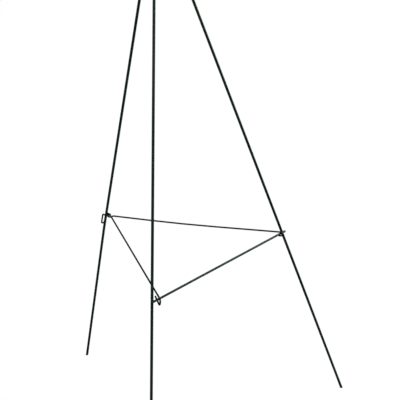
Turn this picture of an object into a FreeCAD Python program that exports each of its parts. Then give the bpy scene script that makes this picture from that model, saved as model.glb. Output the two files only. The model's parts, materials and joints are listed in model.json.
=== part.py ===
"""Folding wire tripod for the garden: two front legs and a crossbar, a rear leg hinged on a pin at the top,
and a V-shaped brace that hooks over the crossbar and runs to a keeper link sliding on the rear leg.

Frame: origin on the floor in the middle of the footprint, +Z up, +Y towards the rear leg, +X to the right
of someone standing in front of the tripod. Millimetres."""

import FreeCAD, Part
import math
import os

import Sketcher

Vector = FreeCAD.Vector
Rotation = FreeCAD.Rotation
X_AXIS, Y_AXIS, Z_AXIS = Vector(1, 0, 0), Vector(0, 1, 0), Vector(0, 0, 1)

DRIVING_SIZES = [
    # overall stance
    ("pin_height", 857.0, "top pin's axis above the floor"),
    ("pin_setback", 6.2, "top pin behind the middle of the footprint"),
    ("foot_spread", 492.0, "front feet, centre to centre"),
    ("front_run", 216.0, "front feet ahead of the pin"),
    ("rear_run", 210.7, "rear leg's straight part, aimed this far behind the pin at the floor"),
    ("rear_kick", 1.3, "degrees that the rear leg steepens below its keeper"),
    ("kick_drop", 26.0, "start of that bend below the brace level"),
    ("kick_radius", 400.0, "radius of that bend"),
    ("brace_level", 327.0, "height at which the crossbar meets the front legs"),
    # wire stock
    ("leg_wire", 4.5, "leg wire diameter"),
    ("bar_wire", 3.6, "crossbar wire diameter"),
    ("tie_wire", 2.8, "brace and keeper wire diameter"),
    ("running_gap", 0.25, "clearance between wires that slide or turn on each other"),
    # top joint
    ("eye_radius", 5.05, "centreline radius of the eye at the top of each leg"),
    ("eye_spacing", 6.2, "front legs' eyes to either side of the rear leg's eye"),
    ("pin_diameter", 5.0, "top pin's shank"),
    ("pin_grip", 9.9, "inside face of a pin head from the middle of the pin"),
    ("head_diameter", 9.0, "pin head"),
    ("head_height", 2.4, "pin head's dome"),
    ("washer_thickness", 1.2, "washer under the riveted head"),
    ("washer_diameter", 10.0, "washer's outside diameter"),
    ("washer_bore", 5.2, "washer's hole"),
    # crossbar
    ("weld_bite", 0.5, "depth that the crossbar sinks into each front leg at its weld"),
    ("bar_overhang", 4.5, "crossbar's end past the leg's centreline"),
    ("sheared_edge", 0.35, "edge break on the cut end of a wire"),
    # keeper link on the rear leg
    ("keeper_reach", 7.4, "keeper's crosspiece in front of the rear leg's centreline"),
    ("keeper_drop", 1.6, "keeper's level below the brace level"),
    ("keeper_corner", 2.0, "bend radius at each end of the crosspiece"),
    ("keeper_setoff", 4.3, "keeper's hanging loop behind the rear leg's centreline"),
    ("keeper_elbow", 3.0, "bend radius where the loop turns down"),
    ("keeper_loop", 20.5, "length of the hanging loop"),
    # brace
    ("hook_inset", 11.1, "left hook from the left leg's centreline, along the crossbar"),
    ("crook_inset", 9.0, "right crook from the right leg's centreline, along the crossbar"),
    ("hook_gap", 10.5, "height between the two strands of the left hook"),
    ("hook_nose", 3.5, "straight part of the left hook in front of the crossbar"),
    ("hook_tail", 19.0, "left hook's tail behind the crossbar"),
    ("hook_rise", 1.0, "rise of the tail towards its tip"),
    ("hook_lean", 1.5, "tail's offset towards the left leg"),
    ("crook_nose", 0.6, "straight part of the right crook in front of the crossbar"),
    ("crook_tail", 2.2, "right crook's tail behind the crossbar"),
    ("crook_rise", 0.4, "rise of that tail towards its tip"),
    ("brace_bend", 4.0, "bend radius where a strand leaves the keeper"),
    ("brace_lead", 1.5, "that bend in front of the keeper's crosspiece"),
    ("strand_kink", 7.0, "right strand's second bend from its first"),
    ("strand_rise", 3.0, "height of the second bend above the first"),
    ("strand_sag", 2.8, "sag of the right strand at its slack bend"),
    ("sag_place", 0.42, "slack bend's place along the right strand, as a share"),
    ("sag_radius", 3000.0, "radius of the slack bend"),
]

doc = FreeCAD.newDocument("WireTripod")
sizes = doc.addObject("Spreadsheet::Sheet", "Sizes")
for row, (alias, value, meaning) in enumerate(DRIVING_SIZES, start=1):
    sizes.set(f"A{row}", meaning)
    sizes.set(f"B{row}", str(value))
    sizes.setAlias(f"B{row}", alias)
doc.recompute()


def size(alias):
    """A driving size, in millimetres or degrees."""
    return float(sizes.get(alias))


LEG_RADIUS = size("leg_wire") / 2
BAR_RADIUS = size("bar_wire") / 2
TIE_RADIUS = size("tie_wire") / 2
PIN_CENTRE = Vector(0, size("pin_setback"), size("pin_height"))


# Legs -------------------------------------------------------------------------------------------

FLOOR_TRIM = 6.0  # extra wire below the floor, cut off level afterwards
FLOOR_BLOCK = 80.0  # side of the block that cuts it off


class LegLine:
    """Where a leg's straight wire lies, from its foot's aim point on the floor and its eye's centre.

    The wire is bent in one plane. In that plane the eye's centre is the origin and the wire leaves the eye
    as a tangent on its outer side, so the plane is turned by splay about Y and by lean about X."""

    def __init__(self, eye_x, foot_x, run, side):
        self.side = side
        self.eye_centre = PIN_CENTRE + Vector(eye_x, 0, 0)
        sideways = foot_x - eye_x
        drop = math.hypot(size("pin_height"), sideways)
        reach = math.hypot(drop, run)
        self.length = math.sqrt(reach**2 - size("eye_radius") ** 2)
        self.lean = math.atan2(run, drop) - math.asin(size("eye_radius") / reach)
        self.splay = math.atan2(sideways, size("pin_height"))
        turn = Rotation(Y_AXIS, -math.degrees(self.splay)) * Rotation(X_AXIS, side * math.degrees(self.lean))
        self.placement = FreeCAD.Placement(self.eye_centre, turn)
        self.start = self.placement.multVec(Vector(0, side * size("eye_radius"), 0))
        self.along = turn.multVec(Vector(0, 0, -1))

    def at_height(self, height):
        """The point of the straight wire's centreline at this height."""
        return self.start + self.along * ((height - self.start.z) / self.along.z)


def origin_plane(body, role):
    return next(f for f in body.Origin.OriginFeatures if f.Role == role)


def new_sketch(body, name, role):
    sketch = body.newObject("Sketcher::SketchObject", name)
    sketch.AttachmentSupport = [(origin_plane(body, role), "")]
    sketch.MapMode = "FlatFace"
    return sketch


def pin_constraint(sketch, name, constraint, expression):
    """Adds a dimension, names it and binds it to the sheet."""
    index = sketch.addConstraint(constraint)
    sketch.renameConstraint(index, name)
    sketch.setExpression(f"Constraints.{name}", expression)


def leg_path(body, name, line, kicked):
    """Centreline of a leg: three quarters of an eye, then the straight wire. The rear leg is kicked: it has
    a slight bend that brings its foot forward."""
    sketch = new_sketch(body, name + "_path", "YZ_Plane")
    eye = size("eye_radius")
    tip_angle, shank_angle = (1.5 * math.pi, 0.0) if line.side > 0 else (-0.5 * math.pi, math.pi)
    first, last = sorted((tip_angle, shank_angle))
    shank_end, tip_end = (1, 2) if line.side > 0 else (2, 1)
    arc = sketch.addGeometry(Part.ArcOfCircle(Part.Circle(Vector(), Z_AXIS, eye), first, last))
    sketch.addConstraint(Sketcher.Constraint("Coincident", arc, 3, -1, 1))
    sketch.addConstraint(Sketcher.Constraint("PointOnObject", arc, tip_end, -2))
    sketch.addConstraint(Sketcher.Constraint("PointOnObject", arc, shank_end, -1))
    pin_constraint(sketch, "eye", Sketcher.Constraint("Radius", arc, eye), "Sizes.eye_radius")

    shank_x = line.side * eye
    total = line.length + FLOOR_TRIM
    straight = total
    if kicked:
        straight = (line.at_height(size("brace_level") - size("kick_drop")) - line.start).Length
    top, low = Vector(shank_x, 0, 0), Vector(shank_x, -straight, 0)
    shank = sketch.addGeometry(Part.LineSegment(top, low))
    sketch.addConstraint(Sketcher.Constraint("Coincident", arc, shank_end, shank, 1))
    sketch.addConstraint(Sketcher.Constraint("Vertical", shank))
    sketch.addConstraint(Sketcher.Constraint("DistanceY", shank, 2, shank, 1, straight))
    if not kicked:
        return sketch

    radius, kick = size("kick_radius"), math.radians(size("rear_kick"))
    centre = low - Vector(radius, 0, 0)
    bend = Part.ArcOfCircle(Part.Circle(centre, Z_AXIS, radius), -kick, 0.0)
    bend_start, bend_end = 2, 1
    corner = centre + Vector(radius * math.cos(kick), -radius * math.sin(kick), 0)
    lower = total - straight - radius * kick
    foot = corner - Vector(math.sin(kick), math.cos(kick), 0) * lower
    curve = sketch.addGeometry(bend)
    shin = sketch.addGeometry(Part.LineSegment(corner, foot))
    sketch.addConstraint(Sketcher.Constraint("Tangent", shank, 2, curve, bend_start))
    sketch.addConstraint(Sketcher.Constraint("Tangent", curve, bend_end, shin, 1))
    pin_constraint(sketch, "bend", Sketcher.Constraint("Radius", curve, radius), "Sizes.kick_radius")
    sketch.addConstraint(Sketcher.Constraint("Distance", shin, lower))
    pin_constraint(
        sketch,
        "kick",
        Sketcher.Constraint("Angle", shank, 2, shin, 1, math.pi - kick),
        "180 deg - Sizes.rear_kick * 1 deg",
    )
    return sketch


def make_leg(name, line, kicked=False):
    """A leg: round wire swept along its centreline, leant into place and cut off level with the floor."""
    body = doc.addObject("PartDesign::Body", name + "_wire")
    path = leg_path(body, name, line, kicked)
    profile = new_sketch(body, name + "_section", "XZ_Plane")
    circle = profile.addGeometry(Part.Circle(Vector(0, -size("eye_radius"), 0), Z_AXIS, LEG_RADIUS))
    profile.addConstraint(Sketcher.Constraint("PointOnObject", circle, 3, -2))
    pin_constraint(
        profile,
        "thick",
        Sketcher.Constraint("Diameter", circle, size("leg_wire")),
        "Sizes.leg_wire",
    )
    pin_constraint(
        profile,
        "eye",
        Sketcher.Constraint("DistanceY", circle, 3, -1, 1, size("eye_radius")),
        "Sizes.eye_radius",
    )
    doc.recompute()
    sweep = body.newObject("PartDesign::AdditivePipe", name + "_sweep")
    sweep.Profile = profile
    sweep.Spine = path
    sweep.Transition = "Transformed"
    body.Tip = sweep
    body.Placement = line.placement

    floor = doc.addObject("Part::Box", name + "_floor")
    floor.Length = floor.Width = floor.Height = FLOOR_BLOCK
    foot = line.at_height(0)
    floor.Placement.Base = Vector(foot.x - FLOOR_BLOCK / 2, foot.y - FLOOR_BLOCK / 2, -FLOOR_BLOCK)
    leg = doc.addObject("Part::Cut", name)
    leg.Base = body
    leg.Tool = floor
    return leg


# Wires bent in space ----------------------------------------------------------------------------

TURN_SHARE = 0.96  # a U-turn's bend radius, as a share of half the gap between its strands


def rounded_path(corners, radii, closed=False):
    """Straight segments through the corners, with an arc of the given radius at each inner corner."""
    count = len(corners)
    legs = []
    for i, (corner, radius) in enumerate(zip(corners, radii)):
        if not closed and i in (0, count - 1):
            legs.append((corner, corner, corner))
            continue
        back = (corners[i - 1] - corner).normalize()
        ahead = (corners[(i + 1) % count] - corner).normalize()
        half = back.getAngle(ahead) / 2
        setback = radius / math.tan(half)
        middle = corner + (back + ahead).normalize() * (radius / math.sin(half) - radius)
        legs.append((corner + back * setback, middle, corner + ahead * setback))
    edges = []
    last = count if closed else count - 1
    for i in range(last):
        entry, middle, leave = legs[i]
        if (leave - entry).Length > 1e-6:
            edges.append(Part.Arc(entry, middle, leave).toShape())
        following = legs[(i + 1) % count][0]
        if (following - leave).Length > 1e-6:
            edges.append(Part.LineSegment(leave, following).toShape())
    return Part.Wire(edges)


def sweep_round(path, radius):
    """Round wire of this radius along a path."""
    first = path.Edges[0]
    start = first.valueAt(first.FirstParameter)
    direction = first.tangentAt(first.FirstParameter)
    section = Part.Wire([Part.Circle(start, direction, radius).toShape()])
    return path.makePipeShell([section], True, False, 0)


def add_bent_wire(name, shape):
    feature = doc.addObject("Part::Feature", name)
    feature.Shape = shape
    return feature


# The pieces -------------------------------------------------------------------------------------

half_spread = size("foot_spread") / 2
left_line = LegLine(-size("eye_spacing"), -half_spread, size("front_run"), -1)
right_line = LegLine(size("eye_spacing"), half_spread, size("front_run"), -1)
rear_line = LegLine(0, 0, size("rear_run"), 1)

# The crossbar lies on the front of the two front legs, sunk into them a little by its spot welds.
left_joint = left_line.at_height(size("brace_level"))
right_joint = right_line.at_height(size("brace_level"))
front_normal = right_line.along.cross(left_line.along).normalize()
if front_normal.y > 0:
    front_normal = -front_normal
bar_centre = Vector(0, left_joint.y, left_joint.z) + front_normal * (
    LEG_RADIUS + BAR_RADIUS - size("weld_bite")
)
bar_half = right_joint.x + size("bar_overhang")

# The keeper's crosspiece is the axis on which the brace turns.
keeper_level = size("brace_level") - size("keeper_drop")
keeper_centre = rear_line.at_height(keeper_level)
crosspiece = keeper_centre + Vector(0, -size("keeper_reach"), 0)


def make_crossbar():
    """Straight wire along X with a small edge break on both cut ends."""
    body = doc.addObject("PartDesign::Body", "crossbar")
    section = new_sketch(body, "crossbar_section", "YZ_Plane")
    circle = section.addGeometry(Part.Circle(Vector(), Z_AXIS, BAR_RADIUS))
    section.addConstraint(Sketcher.Constraint("Coincident", circle, 3, -1, 1))
    pin_constraint(
        section,
        "thick",
        Sketcher.Constraint("Diameter", circle, size("bar_wire")),
        "Sizes.bar_wire",
    )
    doc.recompute()
    pad = body.newObject("PartDesign::Pad", "crossbar_pad")
    pad.Profile = section
    pad.Midplane = True
    pad.Length = 2 * bar_half
    doc.recompute()
    edges = [f"Edge{i}" for i, e in enumerate(pad.Shape.Edges, 1) if isinstance(e.Curve, Part.Circle)]
    ends = body.newObject("PartDesign::Fillet", "crossbar_ends")
    ends.Base = (pad, edges)
    ends.setExpression("Radius", "Sizes.sheared_edge")
    body.Tip = ends
    body.Placement.Base = bar_centre
    return body


def make_top_pin():
    """Rivet along X through the three eyes, domed at both ends; the washer sits under its right head."""
    body = doc.addObject("PartDesign::Body", "top_pin")
    outline = new_sketch(body, "top_pin_outline", "XY_Plane")
    shank, head, dome = size("pin_diameter") / 2, size("head_diameter") / 2, size("head_height")
    left_face = -size("pin_grip")
    right_face = size("pin_grip") + size("washer_thickness")
    dome_radius = (head**2 + dome**2) / (2 * dome)
    dome_half = math.asin(head / dome_radius)
    left_dome = Part.Circle(Vector(left_face - dome + dome_radius, 0, 0), Z_AXIS, dome_radius)
    right_dome = Part.Circle(Vector(right_face + dome - dome_radius, 0, 0), Z_AXIS, dome_radius)
    left_crown = Vector(left_face - dome, 0, 0)
    right_crown = Vector(right_face + dome, 0, 0)
    outline.addGeometry(Part.ArcOfCircle(left_dome, math.pi - dome_half, math.pi))
    outline.addGeometry(Part.LineSegment(Vector(left_face, head, 0), Vector(left_face, shank, 0)))
    outline.addGeometry(Part.LineSegment(Vector(left_face, shank, 0), Vector(right_face, shank, 0)))
    outline.addGeometry(Part.LineSegment(Vector(right_face, shank, 0), Vector(right_face, head, 0)))
    outline.addGeometry(Part.ArcOfCircle(right_dome, 0, dome_half))
    outline.addGeometry(Part.LineSegment(right_crown, left_crown))
    for geometry in range(6):
        outline.addConstraint(Sketcher.Constraint("Block", geometry))
    doc.recompute()
    turned = body.newObject("PartDesign::Revolution", "top_pin_turned")
    turned.Profile = outline
    turned.ReferenceAxis = (outline, ["H_Axis"])
    turned.Angle = 360
    body.Tip = turned
    body.Placement.Base = PIN_CENTRE
    return body


def make_pin_washer():
    """Flat washer between the right eye and the riveted head."""
    body = doc.addObject("PartDesign::Body", "pin_washer")
    section = new_sketch(body, "pin_washer_section", "YZ_Plane")
    rim = section.addGeometry(Part.Circle(Vector(), Z_AXIS, size("washer_diameter") / 2))
    hole = section.addGeometry(Part.Circle(Vector(), Z_AXIS, size("washer_bore") / 2))
    for circle in (rim, hole):
        section.addConstraint(Sketcher.Constraint("Coincident", circle, 3, -1, 1))
    pin_constraint(
        section,
        "rim",
        Sketcher.Constraint("Diameter", rim, size("washer_diameter")),
        "Sizes.washer_diameter",
    )
    pin_constraint(
        section,
        "hole",
        Sketcher.Constraint("Diameter", hole, size("washer_bore")),
        "Sizes.washer_bore",
    )
    doc.recompute()
    pad = body.newObject("PartDesign::Pad", "pin_washer_pad")
    pad.Profile = section
    pad.setExpression("Length", "Sizes.washer_thickness")
    body.Tip = pad
    body.Placement.Base = PIN_CENTRE + Vector(size("pin_grip"), 0, 0)
    return body


def make_keeper():
    """Closed link around the rear leg: level in front, with a loop that hangs down behind the leg."""
    half = LEG_RADIUS + TIE_RADIUS + size("running_gap")
    elbow = keeper_centre + Vector(0, size("keeper_setoff"), 0)
    bottom = elbow + rear_line.along * size("keeper_loop")
    sideways = X_AXIS * half
    corners = [
        crosspiece - sideways,
        crosspiece + sideways,
        elbow + sideways,
        bottom + sideways,
        bottom - sideways,
        elbow - sideways,
    ]
    corner, turn = size("keeper_corner"), size("keeper_elbow")
    path = rounded_path(corners, [corner, corner, turn, half, half, turn], closed=True)
    return add_bent_wire("brace_keeper", sweep_round(path, TIE_RADIUS))


def make_brace():
    """V-shaped wire: hook over the crossbar's left end, half a turn round the keeper's crosspiece, and a
    crook over the crossbar's right end."""
    wrap = 2 * TIE_RADIUS + size("running_gap")
    lift = BAR_RADIUS + TIE_RADIUS + size("running_gap")
    lead = Vector(0, -size("brace_lead"), 0)
    upper = crosspiece + lead + Z_AXIS * wrap
    lower = crosspiece + lead - Z_AXIS * wrap

    over_left = Vector(left_joint.x + size("hook_inset"), bar_centre.y, bar_centre.z + lift)
    left_way = (over_left - upper).normalize()
    hook_front = over_left + left_way * (size("hook_nose") + size("hook_gap") / 2)
    hook_bottom = hook_front - Z_AXIS * size("hook_gap") - X_AXIS * size("hook_lean")
    hook_length = size("hook_nose") + size("hook_gap") / 2 + size("hook_tail")
    hook_tip = hook_front - left_way * hook_length - Z_AXIS * (size("hook_gap") - size("hook_rise"))

    over_right = Vector(right_joint.x - size("crook_inset"), bar_centre.y, bar_centre.z + lift)
    kink = lower + (over_right - lower).normalize() * size("strand_kink") + Z_AXIS * size("strand_rise")
    slack = kink + (over_right - kink) * size("sag_place") - Z_AXIS * size("strand_sag")
    right_way = (over_right - slack).normalize()
    crook_length = size("crook_nose") + lift
    crook_front = over_right + right_way * crook_length
    crook_bottom = crook_front - Z_AXIS * (2 * lift + size("crook_rise"))
    crook_tip = crook_bottom - right_way * (crook_length + size("crook_tail")) + Z_AXIS * size("crook_rise")

    corners = [
        hook_tip,
        hook_bottom,
        hook_front,
        upper,
        crosspiece + Vector(0, wrap, wrap),
        crosspiece + Vector(0, wrap, -wrap),
        lower,
        kink,
        slack,
        crook_front,
        crook_bottom,
        crook_tip,
    ]
    hook_turn, crook_turn = TURN_SHARE * size("hook_gap") / 2, TURN_SHARE * lift
    bend, slack_bend = size("brace_bend"), size("sag_radius")
    radii = [0, hook_turn, hook_turn, bend, wrap, wrap, bend, bend, slack_bend, crook_turn, crook_turn, 0]
    path = rounded_path(corners, radii)
    return add_bent_wire("brace_wire", sweep_round(path, TIE_RADIUS))


pieces = {
    "front_left_leg": make_leg("front_left_leg", left_line),
    "front_right_leg": make_leg("front_right_leg", right_line),
    "rear_leg": make_leg("rear_leg", rear_line, kicked=True),
    "crossbar": make_crossbar(),
    "top_pin": make_top_pin(),
    "pin_washer": make_pin_washer(),
    "brace_keeper": make_keeper(),
    "brace_wire": make_brace(),
}
doc.recompute()

for obj in doc.Objects:
    if "Invalid" in obj.State or "Error" in obj.State:
        raise RuntimeError(f"{obj.Name} failed to compute: {obj.State}")
os.makedirs("parts", exist_ok=True)
for name, piece in pieces.items():
    piece.Label = name
    shape = piece.Shape
    if shape.isNull() or not shape.isValid() or len(shape.Solids) != 1:
        raise RuntimeError(f"{name} is not one valid solid")
    shape.exportStep(os.path.join("parts", name + ".step"))
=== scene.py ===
"""Studio picture of the folding wire tripod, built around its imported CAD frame.

Metres, +Z up, front towards -Y. Each wire is rebuilt as a fine round sweep along the CAD piece's own
centreline, with sheared ends, a coat of dipped enamel that thickens at the feet, and weld beads."""

import json
import math

import bpy
from mathutils import Matrix, Vector, noise


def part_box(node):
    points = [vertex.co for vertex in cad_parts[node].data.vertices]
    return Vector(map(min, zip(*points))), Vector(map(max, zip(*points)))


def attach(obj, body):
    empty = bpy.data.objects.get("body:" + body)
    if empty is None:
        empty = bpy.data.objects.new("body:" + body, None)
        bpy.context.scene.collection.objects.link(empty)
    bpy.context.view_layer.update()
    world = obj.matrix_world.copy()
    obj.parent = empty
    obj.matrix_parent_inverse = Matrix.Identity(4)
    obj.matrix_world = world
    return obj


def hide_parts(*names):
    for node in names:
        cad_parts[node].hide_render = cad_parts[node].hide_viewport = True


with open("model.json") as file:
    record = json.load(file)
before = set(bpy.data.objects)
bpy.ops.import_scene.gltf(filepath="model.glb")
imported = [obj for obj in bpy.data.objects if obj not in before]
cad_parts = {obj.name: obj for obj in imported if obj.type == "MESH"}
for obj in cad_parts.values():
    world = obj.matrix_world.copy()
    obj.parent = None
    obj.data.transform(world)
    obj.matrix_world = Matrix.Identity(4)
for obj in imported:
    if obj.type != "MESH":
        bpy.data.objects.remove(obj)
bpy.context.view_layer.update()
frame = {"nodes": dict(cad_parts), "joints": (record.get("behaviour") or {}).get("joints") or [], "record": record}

MM = 0.001
X_AXIS, Y_AXIS, Z_AXIS = Vector((1, 0, 0)), Vector((0, 1, 0)), Vector((0, 0, 1))

# Sizes read from the frame ----------------------------------------------------------------------

joints = {j["name"]: j for j in frame["joints"]}
feet = {m["name"]: Vector(m["pos_m"]) for m in frame["record"]["mounts"]}
pin_centre = Vector(joints["rear_leg_fold"]["pos_m"])
keeper_axis = Vector(joints["brace_turn"]["pos_m"])
rear_down = -Vector(joints["keeper_slide"]["axis"]).normalized()

bar_low, bar_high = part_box("crossbar")
bar_centre = (bar_low + bar_high) / 2
bar_half = (bar_high.x - bar_low.x) / 2
BAR_RADIUS = (bar_high.z - bar_low.z) / 2
rear_low, rear_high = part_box("rear_leg")
LEG_RADIUS = (rear_high.x - rear_low.x) / 2

# Sizes of the wire work that the frame's boxes don't give directly.
TIE_RADIUS = 1.4 * MM
RUNNING_GAP = 0.25 * MM
EYE_RADIUS = 5.05 * MM
EYE_SPACING = 6.2 * MM
BRACE_LEVEL = 327 * MM
KICK_DROP = 26 * MM
KICK_RADIUS = 400 * MM
KICK_ANGLE = math.radians(1.3)
KEEPER_REACH = 7.4 * MM
KEEPER_CORNER = 2.0 * MM
KEEPER_SETOFF = 4.3 * MM
KEEPER_ELBOW = 3.0 * MM
KEEPER_LOOP = 20.5 * MM
HOOK_INSET = 11.1 * MM
CROOK_INSET = 9.0 * MM
HOOK_GAP = 10.5 * MM
HOOK_NOSE = 3.5 * MM
HOOK_TAIL = 19 * MM
HOOK_RISE = 1.0 * MM
HOOK_LEAN = 1.5 * MM
CROOK_NOSE = 0.6 * MM
CROOK_TAIL = 2.2 * MM
CROOK_RISE = 0.4 * MM
BRACE_BEND = 4.0 * MM
BRACE_LEAD = 1.5 * MM
STRAND_KINK = 7 * MM
STRAND_RISE = 3 * MM
STRAND_SAG = 2.8 * MM
SAG_PLACE = 0.42
SAG_RADIUS = 3000 * MM
TURN_SHARE = 0.96
FOOT_TRIM = 1.6 * MM  # extra leg below the floor, cut off level

# Sizes of the finish, which only the visual model has.
POOL_THICKNESS = 0.14 * MM  # extra enamel at a foot
POOL_HEIGHT = 9 * MM  # height over which it thins out
EDGE_BREAK = 0.16  # rounding of a sheared end, as a share of the wire's radius
WELD_WIDE, WELD_TALL, WELD_DEEP = 2.7 * MM, 2.6 * MM, 1.25 * MM  # half-sizes of a weld bead
WELD_BITE = 0.25 * MM
LUMP_HEIGHT, LUMP_SCALE = 0.14, 1.7

# Fineness of the meshes.
SIDES = 28  # facets round a wire
ARC_STEP = math.radians(6)
STRAIGHT_STEP = 6 * MM
SHORTEST_STEP = 0.02 * MM
KICK_STEPS = 6
BREAK_STEPS = 4
BEAD_ROWS, BEAD_COLUMNS = 18, 28


# Centrelines ------------------------------------------------------------------------------------


def arc_points(centre, start, end, direction, angle):
    """Points round centre from start to end; direction is the tangent at the start."""
    arm = start - centre
    radius = arm.length
    ahead = direction.normalized() * radius
    steps = max(2, math.ceil(angle / ARC_STEP))
    turns = [angle * i / steps for i in range(steps)]
    return [centre + arm * math.cos(turn) + ahead * math.sin(turn) for turn in turns] + [end]


def straight_points(start, end):
    steps = max(1, math.ceil((end - start).length / STRAIGHT_STEP))
    return [start.lerp(end, i / steps) for i in range(steps + 1)]


def rounded_path(corners, radii, closed=False):
    """Straight runs through the corners with an arc of the given radius at each inner corner."""
    count = len(corners)
    turns = []
    for i, (corner, radius) in enumerate(zip(corners, radii)):
        if not closed and i in (0, count - 1):
            turns.append([corner])
            continue
        back = (corners[i - 1] - corner).normalized()
        ahead = (corners[(i + 1) % count] - corner).normalized()
        half = back.angle(ahead) / 2
        setback = radius / math.tan(half)
        centre = corner + (back + ahead).normalized() * (radius / math.sin(half))
        entry, leave = corner + back * setback, corner + ahead * setback
        turns.append(arc_points(centre, entry, leave, -back, math.pi - 2 * half))
    points = []
    for i, turn in enumerate(turns):
        if points:
            points += straight_points(points[-1], turn[0])[1:-1]
        points += turn
    if closed:
        points += straight_points(points[-1], points[0])[1:-1]
    return drop_repeats(points, closed)


def drop_repeats(points, closed):
    """Leaves out points that fall on the one before."""
    kept = [points[0]]
    for point in points[1:]:
        if (point - kept[-1]).length > SHORTEST_STEP:
            kept.append(point)
    if closed and (kept[-1] - kept[0]).length < SHORTEST_STEP:
        kept.pop()
    return kept


def front_leg_path(foot, side):
    """Eye round the pin, then straight down the outside of the eye to the foot."""
    centre = pin_centre + X_AXIS * (side * EYE_SPACING)
    reach = foot - centre
    plane_normal = Y_AXIS.cross(reach).normalized()
    across = reach.cross(plane_normal).normalized()
    if across.y > 0:
        across = -across
    half = math.asin(EYE_RADIUS / reach.length)
    arm = reach.normalized() * math.sin(half) + across * math.cos(half)
    start = centre + arm * EYE_RADIUS
    along = (foot - start).normalized()
    return eye_points(centre, start, along) + straight_points(start, foot)[1:], along


def rear_leg_path(foot):
    """Eye, a straight run for the keeper, a slight bend below it, and a straight shin to the foot."""
    arm = Vector((0, -rear_down.z, rear_down.y))
    start = pin_centre + arm * EYE_RADIUS
    drop = (start.z - (BRACE_LEVEL - KICK_DROP)) / -rear_down.z
    bend_start = start + rear_down * drop
    bend_centre = bend_start - arm * KICK_RADIUS
    bend = []
    for i in range(1, KICK_STEPS + 1):
        turned = Matrix.Rotation(-KICK_ANGLE * i / KICK_STEPS, 3, "X")
        bend.append(bend_centre + turned @ (arm * KICK_RADIUS))
    points = eye_points(pin_centre, start, rear_down)
    points += straight_points(start, bend_start)[1:]
    points += bend[:-1]
    return points + straight_points(bend[-1], foot)


def eye_points(centre, start, along):
    """Three quarters of a turn that runs into start, heading along."""
    turn = 1.5 * math.pi
    tip_first = arc_points(centre, start, start, -along, turn)
    last = centre + (start - centre) * math.cos(turn) - along * (EYE_RADIUS * math.sin(turn))
    return [last] + tip_first[-2:0:-1] + [start]


def along_leg(start, along, height):
    return start + along * ((height - start.z) / along.z)


left_path, left_along = front_leg_path(feet["front_left_foot"], -1)
right_path, right_along = front_leg_path(feet["front_right_foot"], 1)
rear_path = rear_leg_path(feet["rear_foot"])
left_joint = along_leg(feet["front_left_foot"], left_along, BRACE_LEVEL)
right_joint = along_leg(feet["front_right_foot"], right_along, BRACE_LEVEL)
rear_at_keeper = keeper_axis + Y_AXIS * KEEPER_REACH

bar_path = straight_points(bar_centre - X_AXIS * bar_half, bar_centre + X_AXIS * bar_half)


def keeper_path():
    """Closed link round the rear leg: level in front, with a loop that hangs down behind the leg."""
    half = LEG_RADIUS + TIE_RADIUS + RUNNING_GAP
    side = X_AXIS * half
    elbow = rear_at_keeper + Y_AXIS * KEEPER_SETOFF
    bottom = elbow + rear_down * KEEPER_LOOP
    corners = [
        keeper_axis - side,
        keeper_axis + side,
        elbow + side,
        bottom + side,
        bottom - side,
        elbow - side,
    ]
    radii = [KEEPER_CORNER, KEEPER_CORNER, KEEPER_ELBOW, half, half, KEEPER_ELBOW]
    return rounded_path(corners, radii, closed=True)


def brace_path():
    """Left hook, left strand, half a turn round the keeper's crosspiece, right strand, right crook."""
    wrap = 2 * TIE_RADIUS + RUNNING_GAP
    lift = BAR_RADIUS + TIE_RADIUS + RUNNING_GAP
    lead = -Y_AXIS * BRACE_LEAD
    upper = keeper_axis + lead + Z_AXIS * wrap
    lower = keeper_axis + lead - Z_AXIS * wrap

    over_left = Vector((left_joint.x + HOOK_INSET, bar_centre.y, bar_centre.z + lift))
    left_way = (over_left - upper).normalized()
    hook_front = over_left + left_way * (HOOK_NOSE + HOOK_GAP / 2)
    hook_bottom = hook_front - Z_AXIS * HOOK_GAP - X_AXIS * HOOK_LEAN
    hook_length = HOOK_NOSE + HOOK_GAP / 2 + HOOK_TAIL
    hook_tip = hook_front - left_way * hook_length - Z_AXIS * (HOOK_GAP - HOOK_RISE)

    over_right = Vector((right_joint.x - CROOK_INSET, bar_centre.y, bar_centre.z + lift))
    kink = lower + (over_right - lower).normalized() * STRAND_KINK + Z_AXIS * STRAND_RISE
    slack = kink.lerp(over_right, SAG_PLACE) - Z_AXIS * STRAND_SAG
    right_way = (over_right - slack).normalized()
    crook_length = CROOK_NOSE + lift
    crook_front = over_right + right_way * crook_length
    crook_bottom = crook_front - Z_AXIS * (2 * lift + CROOK_RISE)
    crook_tip = crook_bottom - right_way * (crook_length + CROOK_TAIL) + Z_AXIS * CROOK_RISE
    corners = [
        hook_tip,
        hook_bottom,
        hook_front,
        upper,
        keeper_axis + Vector((0, wrap, wrap)),
        keeper_axis + Vector((0, wrap, -wrap)),
        lower,
        kink,
        slack,
        crook_front,
        crook_bottom,
        crook_tip,
    ]
    hook_turn, crook_turn = TURN_SHARE * HOOK_GAP / 2, TURN_SHARE * lift
    bend = BRACE_BEND
    radii = [0, hook_turn, hook_turn, bend, wrap, wrap, bend, bend, SAG_RADIUS, crook_turn, crook_turn, 0]
    return rounded_path(corners, radii)


# Meshes -----------------------------------------------------------------------------------------


def new_object(name, vertices, faces, material, body):
    mesh = bpy.data.meshes.new(name)
    mesh.from_pydata([tuple(v) for v in vertices], [], faces)
    mesh.validate()
    mesh.shade_smooth()
    mesh.materials.append(material)
    obj = bpy.data.objects.new(name, mesh)
    bpy.context.scene.collection.objects.link(obj)
    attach(obj, body)
    return obj


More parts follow.
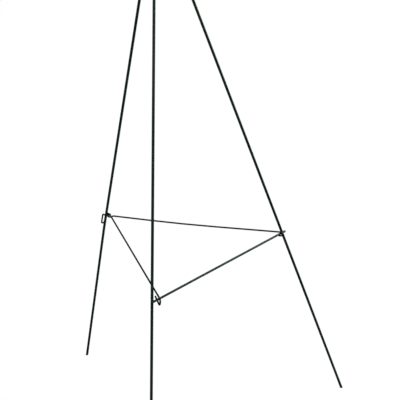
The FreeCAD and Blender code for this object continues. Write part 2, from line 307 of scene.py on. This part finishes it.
def frames_along(points, closed):
    """A tangent and two cross directions at each point, turned as little as possible from one to the next."""
    count = len(points)
    tangents = []
    for i in range(count):
        before = points[i - 1] if closed or i > 0 else points[0]
        after = points[(i + 1) % count] if closed or i < count - 1 else points[-1]
        tangents.append((after - before).normalized())
    side = tangents[0].orthogonal().normalized()
    frames = []
    for i, tangent in enumerate(tangents):
        if i:
            side = tangents[i - 1].rotation_difference(tangent) @ side
        side = (side - tangent * side.dot(tangent)).normalized()
        frames.append((tangent, side, tangent.cross(side)))
    return frames


def closing_twist(frames):
    """Angle by which a closed sweep's last frame misses its first."""
    last, first = frames[-1], frames[0]
    carried = last[0].rotation_difference(first[0]) @ last[1]
    return math.atan2(carried.dot(first[2]), carried.dot(first[1]))


def ring(point, frame_here, radius, twist):
    _, side, up = frame_here
    angles = [2 * math.pi * k / SIDES + twist for k in range(SIDES)]
    return [point + side * (radius * math.cos(a)) + up * (radius * math.sin(a)) for a in angles]


def wire(name, points, radius, material, body, closed=False, swell=None, node=None):
    """Round wire swept along points. swell(point) is the enamel's extra thickness there. Open ends are
    sheared: a short rounded break, then a slightly hollow face."""
    frames = frames_along(points, closed)
    extra = swell or (lambda point: 0.0)
    twist = -closing_twist(frames) if closed else 0.0
    count = len(points)
    rings = []
    for i, (point, here) in enumerate(zip(points, frames)):
        rings.append(ring(point, here, radius + extra(point), twist * i / count))
    if not closed:
        rings = sheared_end(points, frames, radius, extra, 0) + rings[1:-1]
        rings += reversed(sheared_end(points, frames, radius, extra, -1))
    vertices = [v for loop in rings for v in loop]
    faces = []
    last = len(rings) if closed else len(rings) - 1
    for i in range(last):
        low, high = i * SIDES, ((i + 1) % len(rings)) * SIDES
        for k in range(SIDES):
            following = (k + 1) % SIDES
            faces.append((low + k, low + following, high + following, high + k))
    if not closed:
        faces += end_fan(vertices, rings[0], 0, True)
        faces += end_fan(vertices, rings[-1], (len(rings) - 1) * SIDES, False)
    obj = new_object(name, vertices, faces, material, body)
    if node:
        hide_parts(node)
    return obj


def sheared_end(points, frames, radius, extra, end):
    """Rings from the middle of a cut face out to the wire's full radius."""
    tip, here = points[end], frames[end]
    inward = here[0] if end == 0 else -here[0]
    full = radius + extra(tip)
    break_size = EDGE_BREAK * radius
    loops = []
    for share, depth in ((0.35, 0.05), (0.7, 0.01)):
        loops.append(ring(tip + inward * (depth * radius), here, full * share, 0))
    for step in range(BREAK_STEPS + 1):
        angle = math.pi / 2 * step / BREAK_STEPS
        inset = full - break_size * (1 - math.sin(angle))
        loops.append(ring(tip + inward * (break_size * (1 - math.cos(angle))), here, inset, 0))
    return loops


def end_fan(vertices, loop, first, flip):
    """Triangles from one middle vertex to an end ring."""
    middle = sum(loop, Vector()) / SIDES
    vertices.append(middle)
    centre = len(vertices) - 1
    fan = []
    for k in range(SIDES):
        pair = (first + k, first + (k + 1) % SIDES)
        fan.append((centre, pair[1], pair[0]) if flip else (centre, pair[0], pair[1]))
    return fan


def bead(name, centre, axes, body, material, seed):
    """Lumpy rounded bead of metal and enamel; axes are its three half-lengths as vectors."""
    rows, columns = BEAD_ROWS, BEAD_COLUMNS
    vertices = [centre + axes[2]]
    for r in range(1, rows):
        polar = math.pi * r / rows
        for c in range(columns):
            turn = 2 * math.pi * c / columns
            level = Vector((math.cos(turn), math.sin(turn), 0))
            unit = level * math.sin(polar) + Z_AXIS * math.cos(polar)
            lump = 1 + LUMP_HEIGHT * noise.noise(unit * LUMP_SCALE + Vector((seed, 0, 0)))
            vertices.append(centre + (axes[0] * unit.x + axes[1] * unit.y + axes[2] * unit.z) * lump)
    vertices.append(centre - axes[2])
    last = len(vertices) - 1
    faces = [(0, 1 + c, 1 + (c + 1) % columns) for c in range(columns)]
    for r in range(rows - 2):
        for c in range(columns):
            a, b = 1 + r * columns + c, 1 + r * columns + (c + 1) % columns
            faces.append((a, a + columns, b + columns, b))
    base = 1 + (rows - 2) * columns
    faces += [(last, base + (c + 1) % columns, base + c) for c in range(columns)]
    obj = new_object(name, vertices, faces, material, body)
    return obj


# Materials --------------------------------------------------------------------------------------


class Nodes:
    """Short helper for building a node tree."""

    def __init__(self, name):
        self.material = bpy.data.materials.new(name)
        self.material.use_nodes = True
        self.tree = self.material.node_tree
        self.shader = self.tree.nodes["Principled BSDF"]
        self.place = self.add("ShaderNodeTexCoord").outputs["Object"]

    def add(self, kind, **inputs):
        node = self.tree.nodes.new(kind)
        for key, value in inputs.items():
            node.inputs[key.replace("_", " ")].default_value = value
        return node

    def link(self, source, target):
        self.tree.links.new(source, target)

    def noise(self, scale, detail=3.0, roughness=0.5):
        node = self.add("ShaderNodeTexNoise", Scale=scale, Detail=detail, Roughness=roughness)
        self.link(self.place, node.inputs["Vector"])
        return node.outputs["Fac"]

    def ramp(self, source, stops):
        node = self.add("ShaderNodeValToRGB")
        elements = node.color_ramp.elements
        while len(elements) < len(stops):
            elements.new(0.5)
        for element, (position, colour) in zip(elements, stops):
            element.position = position
            element.color = (*colour, 1)
        self.link(source, node.inputs["Fac"])
        return node.outputs["Color"]

    def mix(self, share, first, second):
        node = self.tree.nodes.new("ShaderNodeMix")
        node.data_type = "RGBA"
        for value, socket in ((first, node.inputs[6]), (second, node.inputs[7])):
            if hasattr(value, "is_output"):
                self.link(value, socket)
            else:
                socket.default_value = (*value, 1)
        self.link(share, node.inputs[0])
        return node.outputs[2]

    def bump(self, height, distance, strength=1.0, under=None):
        node = self.add("ShaderNodeBump", Distance=distance, Strength=strength)
        self.link(height, node.inputs["Height"])
        if under is not None:
            self.link(under, node.inputs["Normal"])
        return node.outputs["Normal"]


def grey(value):
    return (value, value, value)


def enamel(name, deep, light):
    """Dipped dark green enamel: two greens in soft clouds, dust specks, and an orange-peel surface."""
    n = Nodes(name)
    clouds = n.ramp(n.noise(26, 4), [(0.36, grey(0)), (0.64, grey(1))])
    colour = n.mix(clouds, deep, light)
    specks = n.ramp(n.noise(900, 1), [(0.70, grey(0)), (0.76, grey(1))])
    dusty = tuple(0.5 * c + 0.05 for c in light)
    n.link(n.mix(specks, colour, dusty), n.shader.inputs["Base Color"])
    n.link(n.ramp(n.noise(60, 3), [(0.3, grey(0.34)), (0.7, grey(0.48))]), n.shader.inputs["Roughness"])
    peel = n.bump(n.noise(1400, 2), 0.03 * MM, 0.25)
    n.link(n.bump(n.noise(220, 2), 0.12 * MM, 0.2, peel), n.shader.inputs["Normal"])
    n.shader.inputs["IOR"].default_value = 1.45
    n.shader.inputs["Specular IOR Level"].default_value = 0.35
    n.shader.inputs["Coat Weight"].default_value = 0.12
    n.shader.inputs["Coat Roughness"].default_value = 0.22
    return n.material


def zinc(name):
    """Bright zinc-plated steel with fine wear and a little dulling."""
    n = Nodes(name)
    n.shader.inputs["Metallic"].default_value = 1.0
    tone = n.ramp(n.noise(300, 5), [(0.35, (0.42, 0.43, 0.44)), (0.65, (0.62, 0.63, 0.64))])
    n.link(tone, n.shader.inputs["Base Color"])
    n.link(n.ramp(n.noise(700, 3), [(0.3, grey(0.28)), (0.7, grey(0.48))]), n.shader.inputs["Roughness"])
    n.link(n.bump(n.noise(2500, 2), 0.02 * MM, 0.6), n.shader.inputs["Normal"])
    return n.material


leg_enamel = enamel("leg_enamel", (0.006, 0.036, 0.017), (0.010, 0.062, 0.029))
bar_enamel = enamel("bar_enamel", (0.004, 0.034, 0.018), (0.007, 0.056, 0.030))
tie_enamel = enamel("tie_enamel", (0.005, 0.024, 0.015), (0.009, 0.040, 0.026))
zinc_plate = zinc("zinc_plate")


# The tripod -------------------------------------------------------------------------------------


def foot_pool(foot):
    """Enamel that ran down and set as a thicker sleeve over the last few millimetres of a leg."""

    def thickness(point):
        height = (point.z - foot.z) / POOL_HEIGHT
        return POOL_THICKNESS * math.exp(-(height**2))

    return thickness


def cut_level(obj, along):
    """Slides the part of a leg's end below the floor back along the wire, so that the cut is level."""
    for vertex in obj.data.vertices:
        if vertex.co.z < 0:
            vertex.co -= along * (vertex.co.z / along.z)


legs = {
    "front_left_leg": (left_path, "front_left_foot", "front_frame"),
    "front_right_leg": (right_path, "front_right_foot", "front_frame"),
    "rear_leg": (rear_path, "rear_foot", "rear_leg"),
}
for node, (path, foot, body) in legs.items():
    pool = foot_pool(feet[foot])
    along = (path[-1] - path[-2]).normalized()
    longer = path[:-1] + [path[-1] + along * FOOT_TRIM]
    leg = wire(f"{node}_wire", longer, LEG_RADIUS, leg_enamel, body, swell=pool, node=node)
    cut_level(leg, along)

wire("crossbar_wire", bar_path, BAR_RADIUS, bar_enamel, "front_frame", node="crossbar")
wire("keeper_link", keeper_path(), TIE_RADIUS, tie_enamel, "keeper", closed=True, node="brace_keeper")
wire("brace_bent_wire", brace_path(), TIE_RADIUS, tie_enamel, "brace", node="brace_wire")

for side, joint, along in ((-1, left_joint, left_along), (1, right_joint, right_along)):
    on_bar = Vector((joint.x, bar_centre.y, bar_centre.z))
    out = (on_bar - joint).normalized()
    contact = joint + out * (LEG_RADIUS - WELD_BITE)
    axes = [X_AXIS * WELD_WIDE, along * WELD_TALL, out * WELD_DEEP]
    name = "weld_left" if side < 0 else "weld_right"
    bead(name, contact, axes, "front_frame", bar_enamel, seed=side)

for node in ("top_pin", "pin_washer"):
    piece = frame["nodes"][node]
    piece.data.materials.clear()
    piece.data.materials.append(zinc_plate)


# Studio -----------------------------------------------------------------------------------------

PALE = (0.975, 0.98, 0.975)
FLOOR_GLOW = 1.0  # keeps the paper evenly pale right out to the horizon


def make_floor():
    size = 14.0
    corners = [(-size, -size, 0), (size, -size, 0), (size, size, 0), (-size, size, 0)]
    mesh = bpy.data.meshes.new("floor")
    mesh.from_pydata(corners, [], [(0, 1, 2, 3)])
    floor = bpy.data.objects.new("floor", mesh)
    bpy.context.scene.collection.objects.link(floor)
    n = Nodes("floor_paper")
    n.link(n.ramp(n.noise(1.5, 2), [(0.3, grey(0.05)), (0.7, grey(0.07))]), n.shader.inputs["Base Color"])
    n.shader.inputs["Roughness"].default_value = 0.85
    n.shader.inputs["Specular IOR Level"].default_value = 0.0
    n.shader.inputs["Emission Color"].default_value = (*PALE, 1)
    n.shader.inputs["Emission Strength"].default_value = FLOOR_GLOW
    mesh.materials.append(n.material)
    floor.visible_glossy = False
    floor.visible_diffuse = False


def make_world():
    """White all round for the camera, dimmer as a light so that the enamel stays dark."""
    world = bpy.data.worlds.new("studio")
    bpy.context.scene.world = world
    world.use_nodes = True
    tree = world.node_tree
    seen = tree.nodes["Background"]
    seen.inputs["Color"].default_value = (*PALE, 1)
    seen.inputs["Strength"].default_value = 1.0
    lighting = tree.nodes.new("ShaderNodeBackground")
    lighting.inputs["Color"].default_value = (0.97, 0.99, 1.0, 1)
    lighting.inputs["Strength"].default_value = 0.10
    rays = tree.nodes.new("ShaderNodeLightPath")
    chosen = tree.nodes.new("ShaderNodeMixShader")
    tree.links.new(rays.outputs["Is Camera Ray"], chosen.inputs["Fac"])
    tree.links.new(lighting.outputs[0], chosen.inputs[1])
    tree.links.new(seen.outputs[0], chosen.inputs[2])
    tree.links.new(chosen.outputs[0], tree.nodes["World Output"].inputs["Surface"])


def add_softbox(name, location, target, size, power):
    light = bpy.data.lights.new(name, "AREA")
    light.shape = "RECTANGLE"
    light.size, light.size_y = size
    light.energy = power
    obj = bpy.data.objects.new(name, light)
    obj.location = location
    obj.rotation_euler = (Vector(target) - Vector(location)).to_track_quat("-Z", "Y").to_euler()
    bpy.context.scene.collection.objects.link(obj)


def add_camera():
    """Standing in front and to the left of the tripod, looking slightly down at its lower half."""
    yaw, pitch, roll = math.radians(47.248), math.radians(25.839), math.radians(0.127)
    look = Vector((math.sin(yaw) * math.cos(pitch), math.cos(yaw) * math.cos(pitch), -math.sin(pitch)))
    data = bpy.data.cameras.new("camera")
    data.sensor_width = 36.0
    data.lens = 97.58
    data.clip_start = 0.05
    camera = bpy.data.objects.new("camera", data)
    camera.location = (-1.1319, -1.1305, 1.1729)
    camera.rotation_mode = "QUATERNION"
    turn = look.to_track_quat("-Z", "Y").to_matrix() @ Matrix.Rotation(roll, 3, "Z")
    camera.rotation_quaternion = turn.to_quaternion()
    bpy.context.scene.collection.objects.link(camera)
    bpy.context.scene.camera = camera


make_floor()
make_world()
middle = Vector((0, 0, 0.45))
add_softbox("key", (2.8, -1.4, 1.6), middle, (1.2, 2.4), 70)
add_softbox("fill", (-2.6, -0.4, 2.0), middle, (1.4, 2.0), 12)
add_softbox("overhead", (0, 0.4, 3.2), middle, (3.0, 3.0), 22)
add_camera()
bpy.context.scene.view_settings.view_transform = "Standard"
